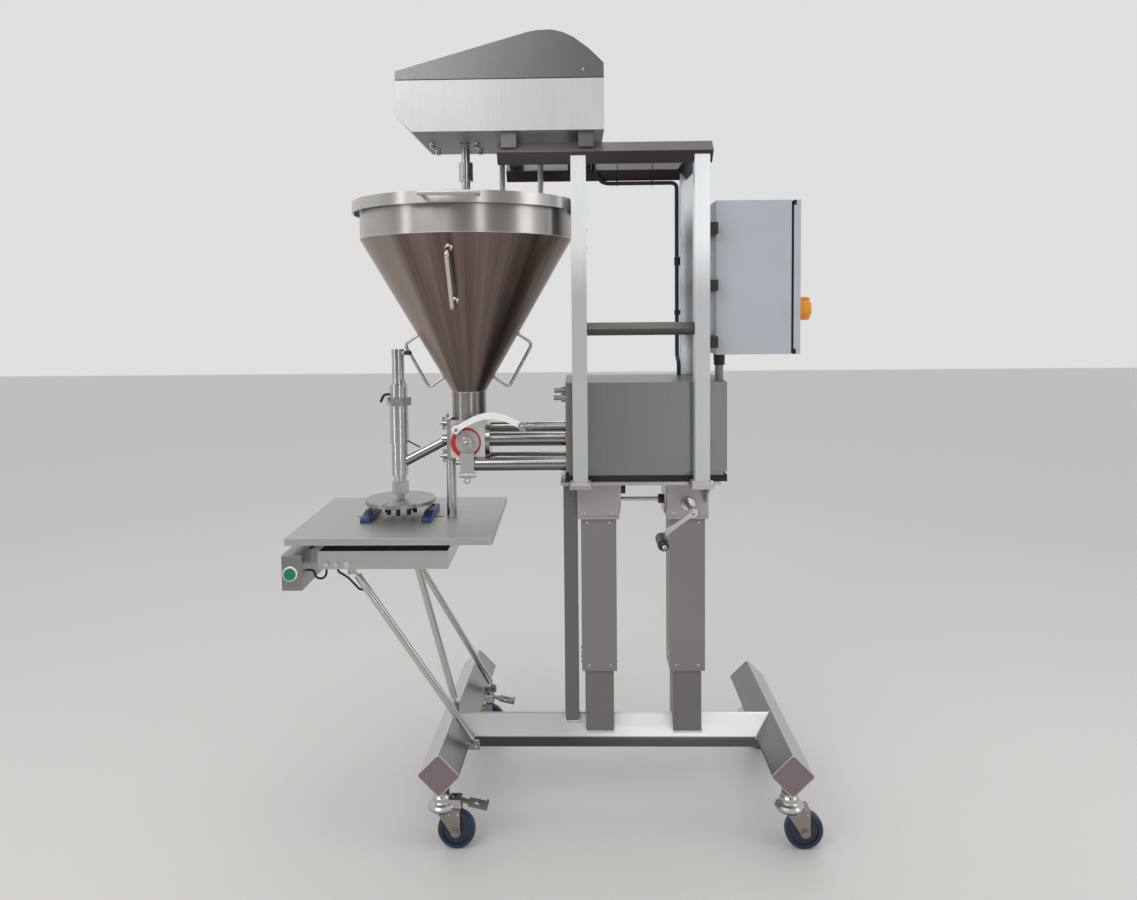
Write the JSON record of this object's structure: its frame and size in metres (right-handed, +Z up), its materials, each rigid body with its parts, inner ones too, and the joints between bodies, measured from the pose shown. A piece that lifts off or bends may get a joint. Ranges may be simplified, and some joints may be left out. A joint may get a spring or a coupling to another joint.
{
  "type": "food depositor",
  "caption": "Piston food depositor on a wheeled lifting stand: lidded hopper with agitator, quarter-turn valve, filling nozzle over a work table and a control cabinet.",
  "frame": {"origin": "on the floor under the middle of the whole machine", "axes": "+Z up, +X to the right of a person facing the hopper side, towards the cabinet, +Y away from that person"},
  "size_m": [1.406, 0.7881, 2.139],
  "materials": {
    "stainless": "brushed",
    "column_grey": "satin",
    "cabinet_grey": "satin",
    "caster_steel": "zinc plated",
    "wheel_blue": "matte",
    "blue_plastic": "matte",
    "black_plastic": "matte",
    "black_rubber": "matte",
    "white_plastic": "gloss",
    "green_plastic": "gloss",
    "orange_plastic": "gloss"
  },
  "bodies": {
    "base": {"left_leg": "stainless", "right_leg": "stainless", "cross_beam": "stainless", "lower_columns": "column_grey", "guide_post": "stainless", "table_top": "stainless", "table_frame": "stainless", "strut_front": "stainless", "strut_mid": "stainless", "strut_rear": "stainless", "button_box": "stainless", "table_cables": "black_rubber"},
    "start_button": {"green_button": "green_plastic"},
    "jaw_l": {"jaw_left": "blue_plastic"},
    "jaw_r": {"jaw_right": "blue_plastic"},
    "swivel_fl": {"caster_fork_fl": "caster_steel"},
    "swivel_fr": {"caster_fork_fr": "caster_steel"},
    "swivel_bl": {"caster_fork_bl": "caster_steel"},
    "swivel_br": {"caster_fork_br": "caster_steel"},
    "wheel_fl": {"caster_wheel_fl": "wheel_blue"},
    "wheel_fr": {"caster_wheel_fr": "wheel_blue"},
    "wheel_bl": {"caster_wheel_bl": "wheel_blue"},
    "wheel_br": {"caster_wheel_br": "wheel_blue"},
    "pedal_fl": {"brake_pedal_fl": "caster_steel"},
    "pedal_bl": {"brake_pedal_bl": "caster_steel"},
    "lift": {"outer_columns": "column_grey", "carriage_frame": "stainless", "front_uprights": "stainless", "rear_uprights": "stainless", "top_frame": "stainless", "motor_cable": "black_rubber", "housing": "stainless", "pump_barrels": "stainless", "carrier_bars": "stainless", "cabinet": "cabinet_grey", "cabinet_fittings": "black_plastic", "hopper": "stainless", "hopper_handles": "stainless", "rear_lid": "stainless", "hood": "stainless", "gear_motor": "stainless", "valve_block": "stainless", "keeper_plate": "stainless", "outlet_tube": "stainless", "nozzle_body": "stainless", "spreader_disc": "stainless"},
    "piston": {"pump_piston": "stainless"},
    "plunger": {"nozzle_plunger": "stainless"},
    "door": {"cabinet_door": "cabinet_grey"},
    "switch": {"main_switch": "orange_plastic"},
    "lid": {"front_lid": "stainless"},
    "stirrer": {"agitator": "stainless"},
    "rotor": {"valve_rotor": "stainless"},
    "actuator": {"curved_link": "white_plastic", "actuator_rod": "stainless"},
    "screw_l": {"spindle_left": "stainless"},
    "screw_r": {"spindle_right": "stainless"},
    "link_shaft": {"cross_shaft": "stainless"},
    "crank": {"crank_arm": "stainless"},
    "grip": {"crank_grip": "black_plastic"}
  },
  "joints": [
    {"name": "lift_slide", "type": "slide", "parent": "base", "child": "lift", "axis": [0, 0, 1], "range_m": [0, 0.25]},
    {"name": "crank_turn", "type": "hinge", "parent": "lift", "child": "crank", "pos_m": [0.37, -0.1365, 0.882], "axis": [0, 1, 0], "range_deg": [0, 4501]},
    {"name": "grip_spin", "type": "hinge", "parent": "crank", "child": "grip", "pos_m": [0.28375, -0.2365, 0.817], "axis": [0, 1, 0], "continuous": true},
    {"name": "shaft_turn", "type": "hinge", "parent": "lift", "child": "link_shaft", "pos_m": [0.247, -0.0365, 0.882], "axis": [1, 0, 0], "range_deg": [0, 4501]},
    {"name": "screw_l_turn", "type": "hinge", "parent": "lift", "child": "screw_l", "pos_m": [0.124, -0.0365, 0.7], "axis": [0, 0, 1], "range_deg": [0, 4501]},
    {"name": "screw_r_turn", "type": "hinge", "parent": "lift", "child": "screw_r", "pos_m": [0.37, -0.0365, 0.7], "axis": [0, 0, 1], "range_deg": [-4501, 0]},
    {"name": "swivel_fl_turn", "type": "hinge", "parent": "base", "child": "swivel_fl", "pos_m": [-0.2998, -0.24427, 0.125], "axis": [0, 0, 1], "continuous": true},
    {"name": "wheel_fl_spin", "type": "hinge", "parent": "swivel_fl", "child": "wheel_fl", "pos_m": [-0.26184, -0.24606, 0.05], "axis": [0.0471, 0.9989, 0], "continuous": true},
    {"name": "pedal_fl_press", "type": "hinge", "parent": "swivel_fl", "child": "pedal_fl", "pos_m": [-0.25585, -0.24634, 0.128], "axis": [0.0471, 0.9989, 0], "range_deg": [0, 12]},
    {"name": "swivel_bl_turn", "type": "hinge", "parent": "base", "child": "swivel_bl", "pos_m": [-0.27172, 0.35107, 0.125], "axis": [0, 0, 1], "continuous": true},
    {"name": "wheel_bl_spin", "type": "hinge", "parent": "swivel_bl", "child": "wheel_bl", "pos_m": [-0.23377, 0.34928, 0.05], "axis": [0.0471, 0.9989, 0], "continuous": true},
    {"name": "pedal_bl_press", "type": "hinge", "parent": "swivel_bl", "child": "pedal_bl", "pos_m": [-0.22777, 0.349, 0.128], "axis": [0.0471, 0.9989, 0], "range_deg": [0, 12]},
    {"name": "swivel_fr_turn", "type": "hinge", "parent": "base", "child": "swivel_fr", "pos_m": [0.615, -0.2445, 0.125], "axis": [0, 0, 1], "continuous": true},
    {"name": "wheel_fr_spin", "type": "hinge", "parent": "swivel_fr", "child": "wheel_fr", "pos_m": [0.653, -0.2445, 0.05], "axis": [0, 1, 0], "continuous": true},
    {"name": "swivel_br_turn", "type": "hinge", "parent": "base", "child": "swivel_br", "pos_m": [0.615, 0.2615, 0.125], "axis": [0, 0, 1], "continuous": true},
    {"name": "wheel_br_spin", "type": "hinge", "parent": "swivel_br", "child": "wheel_br", "pos_m": [0.653, 0.2615, 0.05], "axis": [0, 1, 0], "continuous": true},
    {"name": "lid_hinge", "type": "hinge", "parent": "lift", "child": "lid", "pos_m": [-0.238, -0.0815, 1.718], "axis": [-1, 0, 0], "range_deg": [0, 35]},
    {"name": "actuator_slide", "type": "slide", "parent": "lift", "child": "actuator", "axis": [1, 0, 0], "range_m": [0, 0.057]},
    {"name": "valve_turn", "type": "hinge", "parent": "lift", "child": "rotor", "pos_m": [-0.238, -0.0365, 1.055], "axis": [0, 1, 0], "range_deg": [0, 74]},
    {"name": "piston_slide", "type": "slide", "parent": "lift", "child": "piston", "axis": [1, 0, 0], "range_m": [0, 0.14]},
    {"name": "plunger_slide", "type": "slide", "parent": "lift", "child": "plunger", "axis": [0, 0, 1], "range_m": [0, 0.04]},
    {"name": "agitator_spin", "type": "hinge", "parent": "lift", "child": "stirrer", "pos_m": [-0.238, -0.0365, 1.5], "axis": [0, 0, 1], "continuous": true},
    {"name": "door_hinge", "type": "hinge", "parent": "lift", "child": "door", "pos_m": [0.652, 0.1665, 1.5], "axis": [0, 0, 1], "range_deg": [0, 110]},
    {"name": "switch_turn", "type": "hinge", "parent": "door", "child": "switch", "pos_m": [0.662, -0.0815, 1.416], "axis": [1, 0, 0], "range_deg": [0, 90]},
    {"name": "button_push", "type": "slide", "parent": "base", "child": "start_button", "axis": [0, 1, 0], "range_m": [0, 0.004], "stiffness_N_per_m": 500},
    {"name": "jaw_l_slide", "type": "slide", "parent": "base", "child": "jaw_l", "axis": [-1, 0, 0], "range_m": [0, 0.028]},
    {"name": "jaw_r_slide", "type": "slide", "parent": "base", "child": "jaw_r", "axis": [1, 0, 0], "range_m": [0, 0.028]}
  ],
  "couplings": [
    {"joint": "crank_turn", "follows": "lift_slide", "rad_per_m": 314.16},
    {"joint": "shaft_turn", "follows": "lift_slide", "rad_per_m": 314.16},
    {"joint": "screw_l_turn", "follows": "lift_slide", "rad_per_m": 314.16},
    {"joint": "screw_r_turn", "follows": "lift_slide", "rad_per_m": -314.16},
    {"joint": "valve_turn", "follows": "actuator_slide", "rad_per_m": 22.579},
    {"joint": "jaw_r_slide", "follows": "jaw_l_slide", "ratio": 1}
  ]
}
